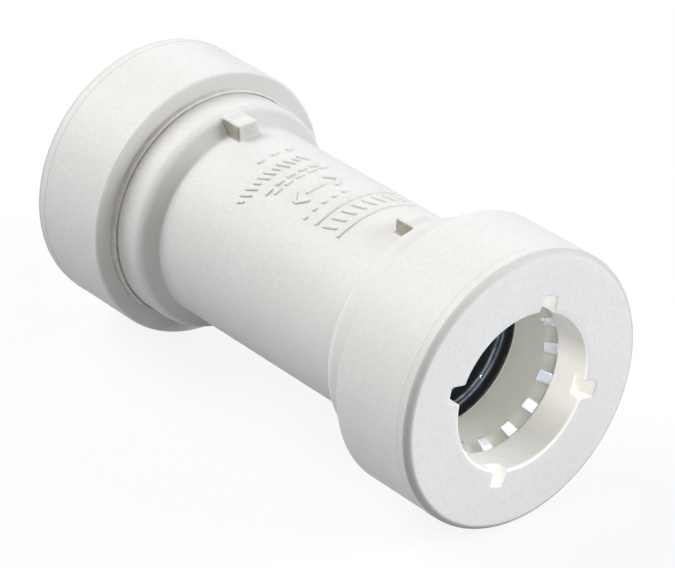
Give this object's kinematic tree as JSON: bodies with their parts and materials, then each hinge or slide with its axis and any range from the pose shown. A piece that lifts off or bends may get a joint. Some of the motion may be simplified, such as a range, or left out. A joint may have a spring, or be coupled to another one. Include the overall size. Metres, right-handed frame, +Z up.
{
  "type": "push to connect coupling",
  "caption": "Straight push-to-connect coupling for copper-tube-size plumbing tube, with a welded end cap, toothed grip ring, guide sleeve and seal ring at each end.",
  "frame": {"origin": "middle of the coupling on its axis, which is the centre of its bounding box", "axes": "+X along the bore towards the right-hand mouth, +Z up through the two lugs on the body"},
  "size_m": [0.0826, 0.0406, 0.0406],
  "materials": {
    "body_plastic": "off-white moulded plastic, satin",
    "cap_plastic": "off-white moulded plastic, satin",
    "sleeve_plastic": "grey-beige moulded plastic, satin",
    "spring_steel": "bright stainless spring steel",
    "seal_rubber": "black rubber, wet with grease"
  },
  "bodies": {
    "housing": {"body": "body_plastic", "end_cap_right": "cap_plastic", "end_cap_left": "cap_plastic", "guide_sleeve_right": "sleeve_plastic", "guide_sleeve_left": "sleeve_plastic", "o_ring_right": "seal_rubber", "o_ring_left": "seal_rubber"},
    "right_grip": {"grip_ring_right": "spring_steel"},
    "left_grip": {"grip_ring_left": "spring_steel"}
  },
  "joints": [
    {"name": "right_grip_turn", "type": "hinge", "parent": "housing", "child": "right_grip", "pos_m": [0.0349, 0, 0], "axis": [1, 0, 0], "continuous": true},
    {"name": "left_grip_turn", "type": "hinge", "parent": "housing", "child": "left_grip", "pos_m": [-0.0349, 0, 0], "axis": [1, 0, 0], "continuous": true}
  ]
}
